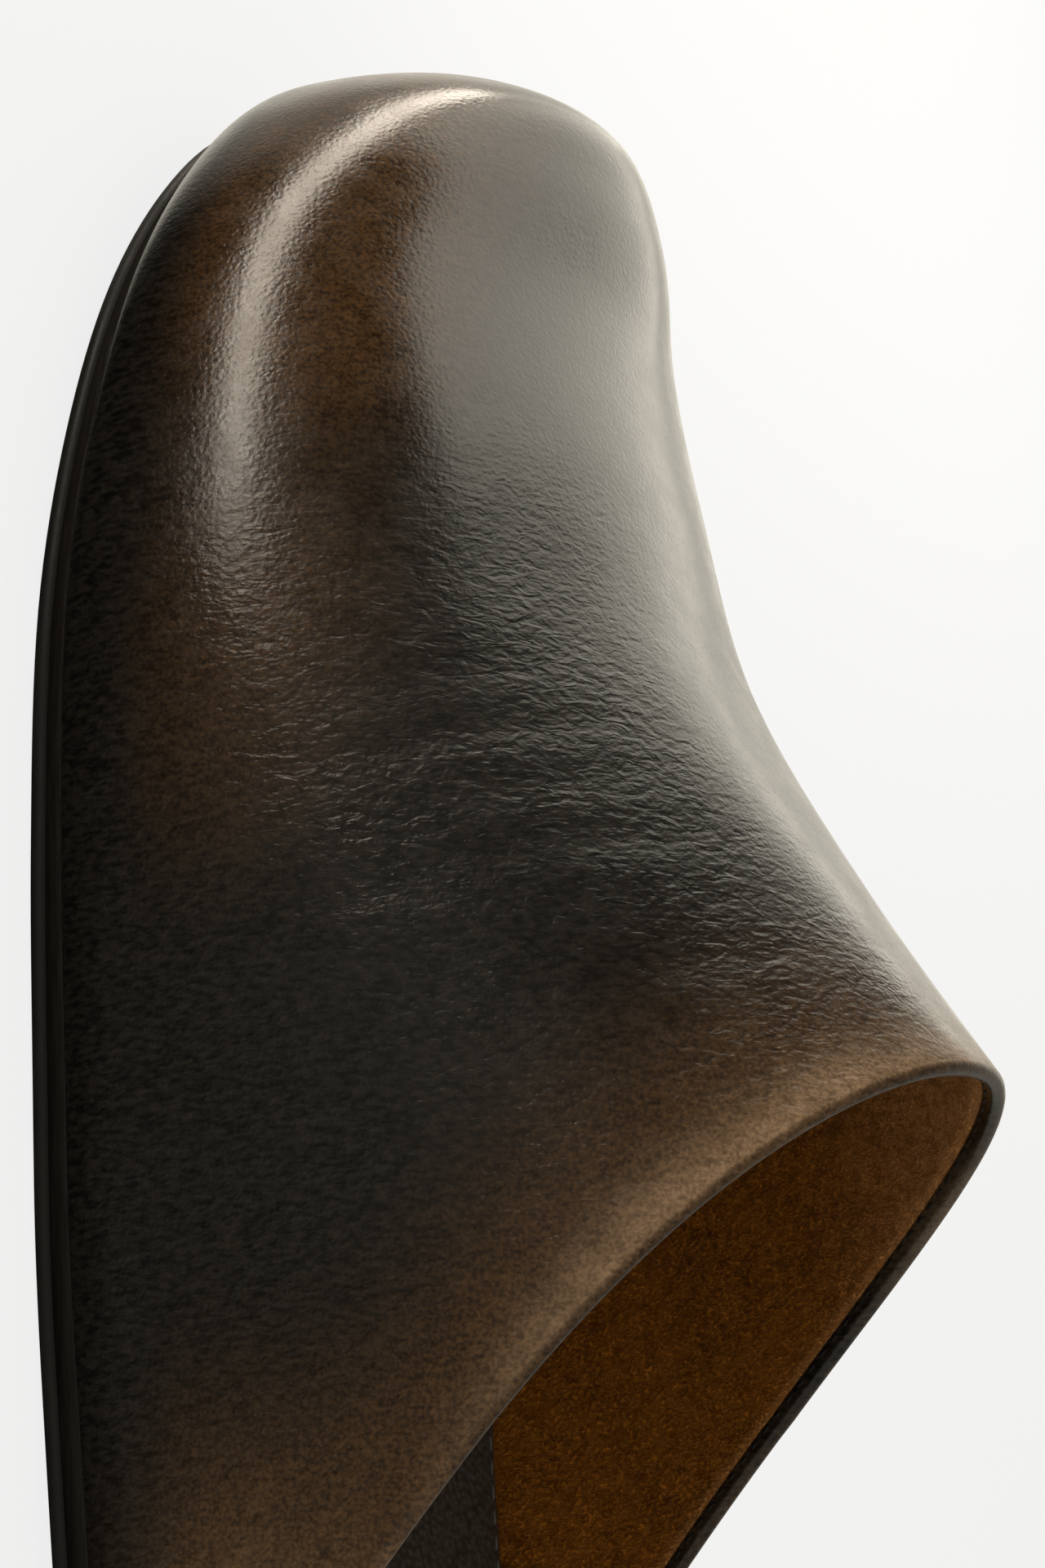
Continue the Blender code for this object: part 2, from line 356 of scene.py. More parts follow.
def layer_mesh(form, rows, rounds):
    """A closed sole layer from a doubled grid; rounds gives the radius of its lower and upper rim."""
    mesh = bmesh.new()
    bmesh.ops.create_grid(mesh, x_segments=SOLE_COLUMNS, y_segments=rows, size=1.0)
    raised = bmesh.ops.extrude_face_region(mesh, geom=mesh.faces[:], use_keep_orig=True)["geom"]
    for item in raised:
        if isinstance(item, bmesh.types.BMVert):
            item.co.z = 1.0
    grid = np.array([vertex.co for vertex in mesh.verts])
    for vertex, point in zip(mesh.verts, placed(*form(*grid.T))):
        vertex.co = point
    bmesh.ops.recalc_face_normals(mesh, faces=mesh.faces[:])
    for level, radius in rounds.items():
        rim = []
        for edge in mesh.edges:
            tilts = [face.normal.z for face in edge.link_faces]
            flat = max(tilt * level for tilt in tilts)
            steep = min(abs(tilt) for tilt in tilts)
            if flat > RIM_TILT and steep < RIM_TILT:
                rim.append(edge)
        bmesh.ops.bevel(
            mesh,
            geom=rim,
            offset=radius * MM,
            segments=RIM_SEGMENTS,
            profile=0.5,
            affect="EDGES",
            material=-1,
        )
        mesh.normal_update()
    return mesh


class Value:
    """A shader value: operators on it add Math nodes."""

    def __init__(self, finish, socket):
        self.finish = finish
        self.socket = socket

    def maths(self, operation, other):
        return self.finish.node("ShaderNodeMath", {"operation": operation}, {0: self, 1: other})

    def __add__(self, other):
        return self.maths("ADD", other)

    def __mul__(self, other):
        return self.maths("MULTIPLY", other)

    __radd__ = __add__
    __rmul__ = __mul__


class Finish:
    """One material's nodes."""

    def __init__(self, name):
        self.material = bpy.data.materials.new(name)
        self.material.use_nodes = True
        self.tree = self.material.node_tree
        self.shader = self.tree.nodes["Principled BSDF"]
        self.place = self.node("ShaderNodeTexCoord", {}, {}, "Object")

    def put(self, socket, value):
        if isinstance(value, Value):
            self.tree.links.new(value.socket, socket)
        else:
            socket.default_value = value

    def node(self, kind, settings, inputs, output=0):
        added = self.tree.nodes.new(kind)
        for name, value in settings.items():
            setattr(added, name, value)
        for name, value in inputs.items():
            self.put(added.inputs[name], value)
        return Value(self, added.outputs[output])

    def surface(self, **sockets):
        for name, value in sockets.items():
            self.put(self.shader.inputs[name.replace("_", " ")], value)

    def noise(self, scale, detail=2.0, roughness=0.5, at=None, distortion=0.0):
        inputs = {
            "Vector": at or self.place,
            "Scale": scale,
            "Detail": detail,
            "Roughness": roughness,
            "Distortion": distortion,
        }
        return self.node("ShaderNodeTexNoise", {}, inputs, "Fac")

    def cells(self, scale):
        inputs = {"Vector": self.place, "Scale": scale}
        return self.node("ShaderNodeTexVoronoi", {"feature": "SMOOTH_F1"}, inputs, "Distance")

    def stretched(self, scale, turn=(0.0, 0.0, 0.0)):
        """Places drawn out along the axes, for a pattern with a direction."""
        inputs = {"Vector": self.place, "Rotation": turn, "Scale": scale}
        return self.node("ShaderNodeMapping", {"vector_type": "POINT"}, inputs, "Vector")

    def chart(self, name):
        """A value charted over the piece's own surface."""
        return self.node("ShaderNodeAttribute", {"attribute_name": name}, {}, "Fac")

    def range(self, value, low, high, start=0.0, end=1.0):
        inputs = {"Value": value, "From Min": low, "From Max": high, "To Min": start, "To Max": end}
        return self.node("ShaderNodeMapRange", {"interpolation_type": "SMOOTHSTEP"}, inputs, "Result")

    def blend(self, factor, first, second):
        settings = {"data_type": "RGBA", "blend_type": "MIX", "clamp_factor": True}
        return self.node("ShaderNodeMix", settings, {0: factor, 6: first, 7: second}, 2)

    def bump(self, height, distance, below=None):
        inputs = {"Height": height, "Distance": distance, "Strength": 1.0}
        if below is not None:
            inputs["Normal"] = below
        return self.node("ShaderNodeBump", {}, inputs, "Normal")


def rubber_finish():
    finish = Finish("black rubber")
    speckle = finish.noise(900, detail=3.0, roughness=0.6)
    finish.surface(
        Base_Color=finish.blend(speckle, RUBBER_DARK, RUBBER_DUSTY),
        Roughness=finish.range(finish.noise(120), 0.3, 0.7, start=0.5, end=0.68),
        Normal=finish.bump(finish.noise(2600), 0.04 * MM),
    )
    return finish.material


RUBBER = rubber_finish()


def outsole_form(across, along, level):
    x, back = sole_plan(across, along, FEATHER)
    return x, back, floor_gap(back) + (OUTSOLE + SEAT) * level


add_piece(
    "outsole_rubber",
    layer_mesh(outsole_form, SOLE_ROWS, {-1: OUTSOLE_EDGE_ROUND}),
    RUBBER,
    ["outsole"],
)

# Heel: one low rubber lift, glued and nailed under the back of the outsole with its front cut straight.
# It lies past the picture's edge, so it is plain.
HEEL_FRONT_BACK = 206.0
HEEL_EDGE_ROUND = 0.8
HEEL_ROWS = 40


def heel_form(across, along, level):
    x, back = sole_plan(across, along, FEATHER, HEEL_FRONT_BACK)
    return x, back, floor_gap(back) * level


add_piece("heel_lift", layer_mesh(heel_form, HEEL_ROWS, {-1: HEEL_EDGE_ROUND}), RUBBER, ["heel"])

# Midsole: a leather board edge between outsole and upper, set in a hair's breadth, dyed and waxed so
# that its upper corner catches the light as a thin line.
MIDSOLE_STEP = 0.3
MIDSOLE_EDGE_ROUND = 0.45
BOARD_STRETCH = (180, 180, 2600)
BOARD_DARK = (0.006, 0.005, 0.0045, 1)
BOARD_LIGHT = (0.022, 0.018, 0.014, 1)


def edge_finish():
    finish = Finish("waxed edge")
    layers = finish.noise(1.0, detail=3.0, roughness=0.6, at=finish.stretched(BOARD_STRETCH))
    finish.surface(
        Base_Color=finish.blend(layers, BOARD_DARK, BOARD_LIGHT),
        Roughness=finish.range(layers, 0.3, 0.7, start=0.34, end=0.5),
        Normal=finish.bump(layers, 0.05 * MM),
    )
    return finish.material


def midsole_form(across, along, level):
    edge = Tuck(*(amount + MIDSOLE_STEP for amount in FEATHER))
    x, back = sole_plan(across, along, edge)
    bottom = floor_gap(back) + OUTSOLE + SEAT
    return x, back, bottom + (feather_height(back) - bottom) * level


add_piece(
    "midsole_edge",
    layer_mesh(midsole_form, SOLE_ROWS, {1: MIDSOLE_EDGE_ROUND}),
    edge_finish(),
    ["midsole"],
)

# Footbed: a firm insole covered in black grained leather, dished along its middle, its cover sewn
# down by one line of pale thread near the edge.
INSOLE_TOE = 5.0
INSOLE_WAIST = 9.2
INSOLE_RISE_START = 60.0
INSOLE_RISE_END = 150.0
INSOLE_DISH = 2.0
INSOLE_HEEL_CUP = 35.0
INSOLE_EDGE_ROUND = 2.0
INSOLE_EDGE = Tuck(6.9, 5.1, 3.6)
SEAM_INSET = 2.9
SEAM_PITCH = 2.7
SEAM_LENGTH = 1.9
SEAM_THREAD = 0.18
SEAM_END = 0.97
SEAM_POINTS = 400
STITCH_SIDES = 8
STITCH_RINGS = 6
PALE_THREAD = (0.10, 0.095, 0.088)
THREAD_SHADE = 0.55
# The pebble tops are painted a lighter grey than the black grooves, as a painted sheen on the grain.
PEBBLE_TOP_PAINTED_SHEEN = (0.045, 0.043, 0.040, 1)
PEBBLE_GROOVE = (0.006, 0.0055, 0.005, 1)


def insole_top(back, across):
    rise = ease(back, INSOLE_RISE_START, INSOLE_RISE_END)
    edge = INSOLE_TOE + (INSOLE_WAIST - INSOLE_TOE) * rise
    from_end = ease(LAST_LENGTH - back, INSOLE_EDGE.heel, INSOLE_HEEL_CUP)
    return edge - INSOLE_DISH * rise * from_end * (1 - across**2)


def insole_form(across, along, level):
    x, back = sole_plan(across, along, INSOLE_EDGE)
    return x, back, feather_height(back) + insole_top(back, across) * level


def footbed_finish():
    finish = Finish("black grained leather")
    pebble = finish.cells(1250)
    fine = finish.noise(3200)
    finish.surface(
        # Painted sheen: the pebble tops are lighter grey than the grooves.
        Base_Color=finish.blend(pebble, PEBBLE_TOP_PAINTED_SHEEN, PEBBLE_GROOVE),
        Roughness=finish.range(pebble, 0.1, 0.8, start=0.28, end=0.46),
        Normal=finish.bump(fine, 0.03 * MM, finish.bump(pebble, -0.26 * MM)),
    )
    return finish.material


def thread_finish(name, colour):
    finish = Finish(name)
    twist = finish.noise(5200, detail=1.0)
    shaded = [channel * THREAD_SHADE for channel in colour]
    finish.surface(Base_Color=finish.blend(twist, (*shaded, 1), (*colour, 1)), Roughness=0.6)
    return finish.material


def stitch_mesh(path, normals, pitch, length, thread):
    """A run of sewn stitches: short round beads of thread laid along a path at an even pitch."""
    mesh = bmesh.new()
    gone = np.concatenate([[0], np.cumsum(np.linalg.norm(np.diff(path, axis=0), axis=1))])
    for distance in np.arange(pitch, gone[-1] - pitch, pitch):
        ends = []
        for offset in (-length / 2, length / 2):
            ends.append(Vector([np.interp(distance + offset, gone, path[:, i]) for i in range(3)]))
        out = Vector([np.interp(distance, gone, normals[:, i]) for i in range(3)])
        along = (ends[1] - ends[0]).normalized()
        side = out.cross(along).normalized()
        lie = Matrix((side, along, side.cross(along))).transposed().to_4x4()
        lie.translation = (ends[0] + ends[1]) / 2
        size = Matrix.Diagonal((thread, length / 2, thread, 1.0))
        bmesh.ops.create_uvsphere(
            mesh,
            u_segments=STITCH_SIDES,
            v_segments=STITCH_RINGS,
            radius=1.0,
            matrix=lie @ size,
        )
    return mesh


def footbed_seam():
    """Path of the footbed's seam, up one side and down the other, with the way up at each point."""
    along = np.linspace(-SEAM_END, SEAM_END, SEAM_POINTS)
    inset = Tuck(*(amount + SEAM_INSET for amount in INSOLE_EDGE))
    near_edge = 1 - 2 * SEAM_INSET / (2 * BALL_HALF_WIDTH - 2 * INSOLE_EDGE.side)
    runs = []
    for side, order in ((1.0, 1), (-1.0, -1)):
        across = np.full_like(along, side)
        x, back = sole_plan(across, along, inset)
        top = feather_height(back) + insole_top(back, side * near_edge)
        runs.append(placed(x, back, top)[::order])
    path = np.concatenate(runs)
    return path, np.tile([0.0, 0.0, 1.0], (len(path), 1))


add_piece(
    "footbed_leather",
    layer_mesh(insole_form, SOLE_ROWS, {1: INSOLE_EDGE_ROUND}),
    footbed_finish(),
    ["insole"],
)
add_piece(
    "footbed_stitches",
    stitch_mesh(*footbed_seam(), SEAM_PITCH * MM, SEAM_LENGTH * MM, SEAM_THREAD * MM),
    thread_finish("pale thread", PALE_THREAD),
)

# Upper: one moulded shell of smooth waxed leather, burnished by hand from near black to brown at the
# toe and along the collar. Its lower edge swells over the sole; its collar edge is turned over to the
# inside, where it ends as a narrow strip.
SWELL_HEIGHT = 6.0
THROAT_BACK = 118.8
THROAT_HEIGHT = 81.4
WING_BACK = 197.0
WING_HEIGHT = 4.0
COLLAR_BOW = 5.5
PUSH_BACK = 45.0
PUSH_HEIGHT = 13.0
SOLVE_STEPS = 34
REACH = 160.0
UPPER_COLUMNS = 300
UPPER_ROWS = 120
ROW_CROWDING = 1.2
DENSE_STEPS = 200
LEATHER = 0.9
ROLL = 0.95
ROLL_ROWS = 10
STRIP = 1.1
STRIP_ROWS = 5
INSIDE_FADE = 14.0

Crest = namedtuple("Crest", "back height fullness shift")
CREST = [
    Crest(0, 0, 2.0, 0),
    Crest(4, 17.6, 2.0, 0),
    Crest(10, 27.5, 2.0, 0.5),
    Crest(20, 31.5, 2.05, 2.5),
    Crest(34, 33, 2.05, 4.0),
    Crest(52, 37.5, 2.1, 3.5),
    Crest(75, 44.5, 2.1, 3.0),
    Crest(98, 57.5, 2.0, 1.8),
    Crest(122, 73.5, 2.05, 1.0),
    Crest(150, 93.5, 2.23, 0.2),
]


def outside_last(x, back, z):
    """True outside the last, whose sections are superellipses over a swelling lower wall."""
    swell = feather_height(np.clip(back, 0, LAST_LENGTH)) + SWELL_HEIGHT
    under = np.clip((swell - z) / SWELL_HEIGHT, 0, 1)
    across, along = tuck_scale(back, FEATHER, 1 - np.sqrt(1 - under * under))
    plan_back = BALL_BACK + (back - BALL_BACK) / along
    on_last = np.clip(plan_back, 0, LAST_LENGTH)
    outer, inner, axis = sides(on_last)
    plan_x = axis + (x - axis) / across
    crest = axis + fair(CREST, "shift", on_last)
    reach = np.where(plan_x < crest, crest - outer, inner - crest)
    height = np.maximum(fair(CREST, "height", on_last), 0.001)
    fullness = fair(CREST, "fullness", on_last)
    across_share = np.abs(plan_x - crest) / np.maximum(reach, 0.001)
    up_share = np.clip((z - swell) / height, 0, None)
    return (plan_back < 0) | (across_share**fullness + up_share**fullness > 1)


def walk_out(point_at, count):
    """Where each of a set of rays leaves the last, found by halving."""
    near = np.zeros(count)
    far = np.full(count, REACH)
    for _ in range(SOLVE_STEPS):
        middle = (near + far) / 2
        out = outside_last(*point_at(middle))
        near = np.where(out, near, middle)
        far = np.where(out, middle, far)
    return point_at(near)


def feather_line(t):
    """Lower edge of the upper, t running from the outer wing (-1) round the toe to the inner one (1)."""
    back = back_of(np.abs(t) * station(WING_BACK))
    outer, inner, axis = sides(back)
    x, back = tucked(np.where(t < 0, outer, inner), back, axis, FEATHER)
    return x, back, feather_height(back)


def collar_line(t):
    """Collar: where a bowed sheet, seen on edge from the side, cuts the last."""
    low = feather_height(np.array(WING_BACK)) + WING_HEIGHT
    rise = np.pi / 2 * (1 - np.abs(t))
    side = np.where(t < 0, -1.0, 1.0)

    def on_sheet(distance):
        z = low + distance * np.sin(rise)
        share = (z - low) / (THROAT_HEIGHT - low)
        back = WING_BACK + (THROAT_BACK - WING_BACK) * share - COLLAR_BOW * 4 * share * (1 - share)
        return side * distance * np.cos(rise), back, z

    return walk_out(on_sheet, len(t))


def upper_surface(t, v):
    """Outer face of the upper between the feather line (v 0) and the collar (v 1)."""
    feather = np.array(feather_line(t))
    collar = np.array(collar_line(t))
    chord = feather + (collar - feather) * v
    core = np.array([np.zeros_like(t), np.maximum(PUSH_BACK, chord[1]), np.full_like(t, PUSH_HEIGHT)])
    aim = chord - core
    aim = aim / np.linalg.norm(aim, axis=0)
    pushed = np.array(walk_out(lambda distance: core + aim * distance, len(t)))
    return np.where(v <= 0, feather, np.where(v >= 1, collar, pushed))


def unit(vectors):
    return vectors / np.maximum(np.linalg.norm(vectors, axis=-1, keepdims=True), 1e-9)


def normals_of(points):
    """Outward normals of a sheet of points, columns along the first axis and rows along the second."""
    return unit(np.cross(np.gradient(points, axis=1), np.gradient(points, axis=0)))


class Shell:
    """The upper's outer face, read by its column and by the distance up from the feather line."""

    def __init__(self, columns):
        self.t = np.linspace(-1, 1, columns + 1)
        self.steps = np.linspace(0, 1, DENSE_STEPS + 1)
        t, v = np.meshgrid(self.t, self.steps, indexing="ij")
        x, back, z = upper_surface(t.ravel(), v.ravel())
        self.points = np.stack([x, -back, z], axis=-1).reshape(*t.shape, 3)
        pieces = np.linalg.norm(np.diff(self.points, axis=1), axis=2)
        self.girth = np.concatenate([np.zeros((len(self.t), 1)), np.cumsum(pieces, axis=1)], axis=1)
        self.length = self.girth[:, -1]

    def rows_at(self, distance):
        """Points at given distances up each column; distance has a row of values for each column."""
        rows = np.empty((*distance.shape, 3))
        for i in range(len(self.t)):
            for axis in range(3):
                rows[i, :, axis] = np.interp(distance[i], self.girth[i], self.points[i, :, axis])
        return rows


def sheet_mesh(points, charts):
    """A grid laid over rows and columns of points in millimetres, with values charted on it."""
    columns, rows = points.shape[0] - 1, points.shape[1] - 1
    mesh = bmesh.new()
    bmesh.ops.create_grid(mesh, x_segments=columns, y_segments=rows, size=1.0)
    layers = {name: mesh.verts.layers.float.new(name) for name in charts}
    where = placed(points[..., 0], -points[..., 1], points[..., 2])
    for vertex in mesh.verts:
        i = columns - round((vertex.co.x + 1) / 2 * columns)
        j = round((vertex.co.y + 1) / 2 * rows)
        vertex.co = where[i, j]
        for name, layer in layers.items():
            vertex[layer] = float(charts[name][i, j])
    return mesh


def thicken(piece, thickness):
    wall = piece.modifiers.new("wall", "SOLIDIFY")
    wall.thickness = thickness * MM
    wall.offset = -1.0
    wall.use_even_offset = False


SHELL = Shell(UPPER_COLUMNS)

Crease = namedtuple("Crease", "x back z length lean depth")
CREASES = [
    Crease(-37, 82, 43, 10, -0.25, 0.20),
    Crease(-36, 88, 45, 13, -0.25, 0.24),
    Crease(-33, 93, 50, 9, -0.30, 0.17),
    Crease(-34, 99, 52, 12, -0.20, 0.20),
    Crease(-28, 110, 64, 9, -0.30, 0.15),
    Crease(-42, 104, 38, 10, -0.15, 0.13),
    Crease(30, 84, 43, 10, -0.25, 0.20),
    Crease(29, 92, 47, 12, -0.25, 0.24),
    Crease(25, 102, 55, 9, -0.30, 0.17),
]
CREASE_HALF_WIDTH = 2.0
CREASE_RIDGE = 0.6
CREASE_RIDGE_BACK = 1.6
CREASE_CLEAR = 10.0


def creased(x, back, z):
    """Depth of the soft folds that walking leaves over the ball: a trough with a ridge behind it."""
    total = np.zeros_like(x)
    for crease in CREASES:
        aside = (back - crease.back - crease.lean * (z - crease.z)) / CREASE_HALF_WIDTH
        along = np.hypot(x - crease.x, z - crease.z) / crease.length
        ridge = CREASE_RIDGE * np.exp(-((aside - CREASE_RIDGE_BACK) ** 2))
        fold = ridge - np.exp(-(aside**2))
        total = total + crease.depth * fold * np.exp(-(along**2))
    return total


def leather_points():
    """Outside of the leather, its turned collar edge and the strip on the inside, as one sheet."""
    share = np.linspace(0, 1, UPPER_ROWS + 1) ** ROW_CROWDING
    distance = share[None, :] * (SHELL.length[:, None] - ROLL)
    outside = SHELL.rows_at(distance)
    normals = normals_of(outside)
    fold = creased(outside[..., 0], -outside[..., 1], outside[..., 2])
    fold = fold * ease(SHELL.length[:, None] - distance, ROLL, CREASE_CLEAR)
    outside = outside + normals * fold[..., None]
    edge, out = outside[:, -1], normals[:, -1]
    up = outside[:, -1] - outside[:, -2]
    up = unit(up - out * (up * out).sum(-1, keepdims=True))
    angle = np.linspace(0, np.pi, ROLL_ROWS + 1)[1:]
    turned = [edge - ROLL * out + ROLL * (out * np.cos(a) + up * np.sin(a)) for a in angle]
    below = np.linspace(0, STRIP, STRIP_ROWS + 1)[1:]
    strip_at = SHELL.length[:, None] - ROLL - np.minimum(below[None, :], SHELL.length[:, None] / 2)
    strip = SHELL.rows_at(strip_at) - 2 * ROLL * out[:, None, :]
    points = np.concatenate([outside, np.stack(turned, axis=1), strip], axis=1)
    inside = np.concatenate([angle * ROLL, np.pi * ROLL + below]) * INSIDE_FADE
    inside = np.broadcast_to(inside, (len(SHELL.t), len(inside)))
    from_collar = np.concatenate([SHELL.length[:, None] - ROLL - distance, inside], axis=1)
    return points, from_collar


Patch = namedtuple("Patch", "x back z reach strength")
BURNISH = [
    Patch(-36, 24, 22, 20, 1.0),
    Patch(-18, 8, 24, 16, 0.8),
    Patch(20, 10, 24, 18, 0.7),
    Patch(-41, 44, 27, 16, 0.8),
    Patch(38, 36, 24, 20, 0.8),
    Patch(-47, 74, 25, 14, 0.6),
    Patch(-48, 92, 22, 13, 0.4),
    Patch(42, 66, 24, 16, 0.5),
    Patch(-43, 166, 26, 19, 0.8),
    Patch(32, 152, 30, 18, 0.5),
]
BURNISH_START = (2.0, 13.0)
COLLAR_BURNISH = 16.0
COLLAR_BURNISH_RISE = (22.0, 52.0)
RUBBED_TAN = [
    Patch(-26, 128, 70, 10, 0.12),
    Patch(-42, 170, 25, 12, 0.25),
    Patch(24, 130, 68, 10, 0.20),
]
COLLAR_TAN = 3.8
COLLAR_TAN_RISE = (36.0, 62.0)
FLEX = [
    Patch(-37, 84, 44, 17, 1.0),
    Patch(-30, 94, 52, 14, 0.6),
    Patch(-24, 117, 72, 15, 0.8),
    Patch(30, 88, 46, 20, 0.8),
]
FLEX_EVERYWHERE = 0.42
FLEX_START = (45.0, 75.0)
FLEX_ON_CREST = 0.4
FLEX_FLANK = (5.0, 28.0)
GRAIN_DEPTH = -0.028 * MM
CREPE_DEPTH = 0.07 * MM
WRINKLE_DEPTH = 0.24 * MM
SPECK_DEPTH = 0.008 * MM
CREPE_STRETCH = (720, 1700, 720)
WRINKLE_STRETCH = (420, 900, 420)
ACROSS_THE_BALL = (0.3, 0.0, 0.1)
# The black dye is painted darker in the crepe's valleys as painted shade and lighter on its ridges as a
# painted sheen.
DYE_BLACK_WITH_VALLEY_SHADE = (0.004, 0.0032, 0.0025, 1)
DYE_PAINTED_RIDGE_SHEEN = (0.027, 0.023, 0.0185, 1)
BROWN_DEEP = (0.030, 0.0130, 0.0033, 1)
BROWN_LIGHT = (0.125, 0.060, 0.019, 1)
TAN_DEEP = (0.19, 0.115, 0.060, 1)
TAN_LIGHT = (0.48, 0.31, 0.180, 1)


def patched(x, back, z, patches):
    """Sum of soft round patches at points of the leather."""
    total = np.zeros_like(x)
    for patch in patches:
        apart = (x - patch.x) ** 2 + (back - patch.back) ** 2 + (z - patch.z) ** 2
        total = total + patch.strength * np.exp(-apart / patch.reach**2)
    return total


def leather_charts(points, from_collar):
    x, back, z = points[..., 0], -points[..., 1], points[..., 2]
    over_edge = ease(z - feather_height(back), *BURNISH_START)
    collar = np.exp(-((from_collar / COLLAR_BURNISH) ** 2)) * ease(z, *COLLAR_BURNISH_RISE)
    rubbed_edge = np.exp(-((from_collar / COLLAR_TAN) ** 2)) * ease(z, *COLLAR_TAN_RISE)
    flank = FLEX_ON_CREST + (1 - FLEX_ON_CREST) * ease(np.abs(x), *FLEX_FLANK)
    return {
        "burnish": np.clip(patched(x, back, z, BURNISH) * over_edge + collar, 0, 1),
        "tan": np.clip(rubbed_edge + patched(x, back, z, RUBBED_TAN), 0, 1),
        "flex": FLEX_EVERYWHERE * ease(back, *FLEX_START) * flank + patched(x, back, z, FLEX),
    }


def leather_finish():
    finish = Finish("waxed burnished leather")
    grain = finish.cells(2000)
    specks = finish.range(finish.noise(2400, detail=3.0, roughness=0.6), 0.34, 0.66)
    mottle = finish.range(finish.noise(210, detail=4.0, roughness=0.6), 0.32, 0.68)
    wrinkle_place = finish.stretched(WRINKLE_STRETCH, ACROSS_THE_BALL)
    wrinkle = finish.noise(1.0, at=wrinkle_place, distortion=0.8)
    crepe_place = finish.stretched(CREPE_STRETCH, ACROSS_THE_BALL)
    crepe = finish.noise(1.0, at=crepe_place, distortion=0.2)
    gathered = finish.range(finish.noise(90), 0.3, 0.7, start=0.5)
    flex = finish.chart("flex")
    # Crepe streaks in the colour: painted shade in the valleys and a painted sheen on the ridges of the
    # grain, also mixed into the brown and tan tones with the random specks.
    crepe_shade_streaks = finish.range(crepe, 0.30, 0.68)
    specks_and_crepe_shade = 0.7 * specks + 0.3 * crepe_shade_streaks
    rubbed = finish.range(finish.chart("burnish"), 0.0, 1.0) * (0.62 + 0.2 * mottle + 0.25 * specks_and_crepe_shade)
    dark = finish.blend(crepe_shade_streaks * (0.6 + 0.4 * specks), DYE_BLACK_WITH_VALLEY_SHADE, DYE_PAINTED_RIDGE_SHEEN)
    brown = finish.blend(specks_and_crepe_shade, BROWN_DEEP, BROWN_LIGHT)
    tan = finish.blend(specks_and_crepe_shade, TAN_DEEP, TAN_LIGHT)
    worn = finish.chart("tan") * (0.75 + 0.25 * mottle)
    sheen = finish.range(mottle + 0.5 * grain, 0.1, 1.2, start=0.17, end=0.25)
    pebbled = finish.bump(grain, GRAIN_DEPTH)
    creped = finish.bump(crepe * (0.15 + flex), CREPE_DEPTH, pebbled)
    wrinkled = finish.bump(wrinkle * gathered * flex, WRINKLE_DEPTH, creped)
    finish.surface(
        Base_Color=finish.blend(worn, finish.blend(rubbed, dark, brown), tan),
        Roughness=sheen + 0.14 * worn + 0.13 * flex,
        Specular_IOR_Level=0.65,
        Coat_Weight=finish.range(flex, 0.1, 0.6, start=0.25, end=0.0),
        Coat_Roughness=0.16,
        Normal=finish.bump(specks, SPECK_DEPTH, wrinkled),
    )
    return finish.material


leather_sheet, collar_distance = leather_points()
upper = add_piece(
    "upper_leather",
    sheet_mesh(leather_sheet, leather_charts(leather_sheet, collar_distance)),
    leather_finish(),
    ["upper"],
)
thicken(upper, LEATHER)

# Lining: cognac suede, cut back from the turned edge of the leather and glued to the inside of the
# shell down to the footbed. Its suede is painted lighter towards the top as painted light, and lighter
# along the cut edge as a painted highlight of the nap catching light.
LINING_PROUD = 0.1
LINING = 0.8
LINING_ROWS = 80
LINING_EDGE_HIGHLIGHT_REACH = 0.9
LINING_TOP_LIGHT_RISE = (48.0, 76.0)
NAP_DEPTH = 0.4 * MM
SUEDE_DEEP = (0.070, 0.019, 0.0008, 1)
SUEDE_BRUSHED = (0.16, 0.048, 0.0025, 1)
SUEDE_NAP = (0.55, 0.19, 0.022, 1)
SUEDE_PAINTED_TOP_LIGHT = (0.70, 0.34, 0.14, 1)
SUEDE_CUT_EDGE_HIGHLIGHT = (0.40, 0.19, 0.075, 1)
SUEDE_SHEEN = (1.0, 0.5, 0.2, 1)


def lining_points():
    top = np.maximum(SHELL.length - ROLL - STRIP, SHELL.length / 3)
    distance = np.linspace(0, 1, LINING_ROWS + 1)[None, :] * top[:, None]
    outside = SHELL.rows_at(distance)
    normals = normals_of(outside)
    depth = 2 * ROLL + LINING_PROUD - LINING
    return outside - normals * depth, top[:, None] - distance


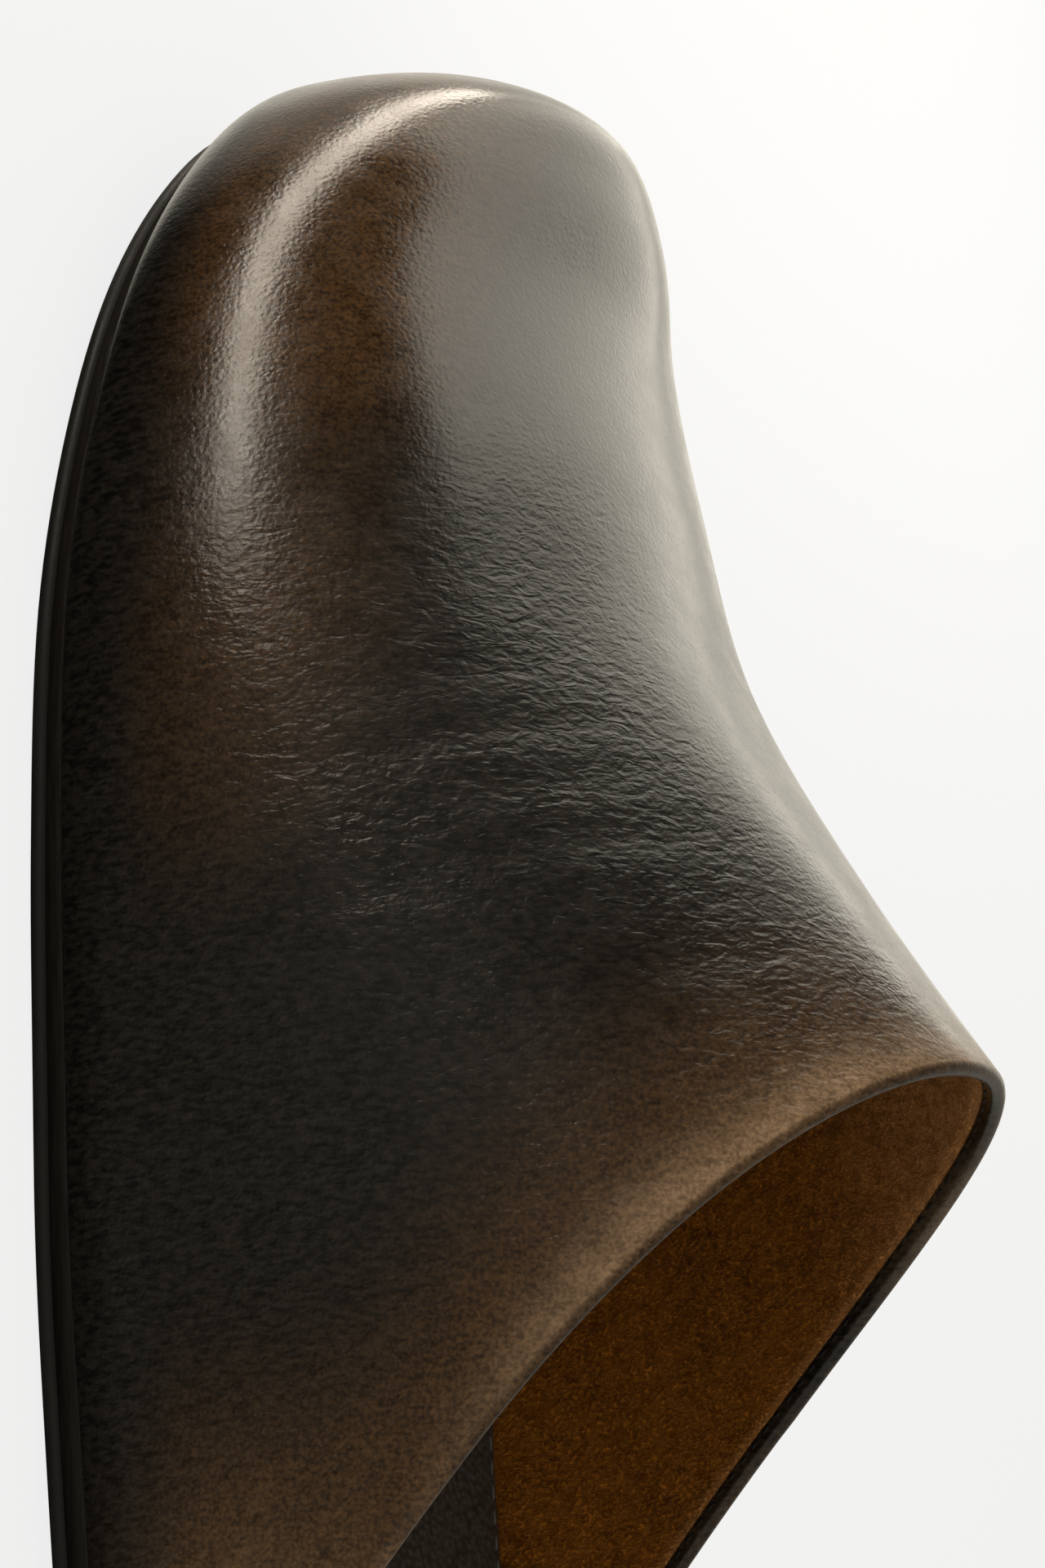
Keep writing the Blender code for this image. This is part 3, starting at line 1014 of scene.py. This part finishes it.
def suede_finish():
    finish = Finish("cognac suede")
    nap = finish.range(finish.noise(2100, detail=4.0, roughness=0.7), 0.36, 0.64)
    tufts = finish.range(finish.noise(650, detail=3.0, roughness=0.6), 0.34, 0.66)
    brushed = finish.range(finish.noise(110, detail=3.0, roughness=0.6), 0.34, 0.66)
    base = finish.blend(brushed, SUEDE_DEEP, SUEDE_BRUSHED)
    lit = finish.blend(0.55 * nap + 0.3 * tufts, base, SUEDE_NAP)
    # Painted light: the suede is painted lighter towards the top of the lining.
    worn = finish.blend(finish.chart("top_light") * (0.3 + 0.45 * tufts), lit, SUEDE_PAINTED_TOP_LIGHT)
    finish.surface(
        # Painted highlight: a lighter colour along the cut edge, where the nap catches light.
        Base_Color=finish.blend(finish.chart("edge") * (0.25 + 0.6 * nap), worn, SUEDE_CUT_EDGE_HIGHLIGHT),
        Roughness=0.95,
        Specular_IOR_Level=0.03,
        Sheen_Weight=0.15,
        Sheen_Roughness=0.5,
        Sheen_Tint=SUEDE_SHEEN,
        Normal=finish.bump(nap, NAP_DEPTH),
    )
    return finish.material


lining_sheet, lining_edge = lining_points()
lining_charts = {
    "edge": np.exp(-((lining_edge / LINING_EDGE_HIGHLIGHT_REACH) ** 2)),
    "top_light": ease(lining_sheet[..., 2], *LINING_TOP_LIGHT_RISE),
}
lining = add_piece(
    "suede_lining",
    sheet_mesh(lining_sheet, lining_charts),
    suede_finish(),
)
thicken(lining, LINING)

# Collar thread: a close row of dark stitches on the inside strip, holding the turned edge down beside
# the lining.
COLLAR_PITCH = 2.1
COLLAR_STITCH = 1.3
COLLAR_THREAD = 0.16
COLLAR_SEAM = 0.6
COLLAR_SEAM_ENDS = 12
NORMAL_STEP = 0.5
DARK_THREAD = (0.014, 0.011, 0.009)


def collar_seam():
    """Path of the collar seam on the inside strip, with the way into the shoe at each point."""
    kept = slice(COLLAR_SEAM_ENDS, -COLLAR_SEAM_ENDS)
    seam = SHELL.length - ROLL - COLLAR_SEAM
    rows = SHELL.rows_at(np.stack([seam - NORMAL_STEP, seam, seam + NORMAL_STEP], axis=1))
    normals = normals_of(rows)[:, 1]
    path = rows[:, 1] - 2 * ROLL * normals
    return placed(path[kept, 0], -path[kept, 1], path[kept, 2]), -normals[kept]


add_piece(
    "collar_stitches",
    stitch_mesh(*collar_seam(), COLLAR_PITCH * MM, COLLAR_STITCH * MM, COLLAR_THREAD * MM),
    thread_finish("dark thread", DARK_THREAD),
)
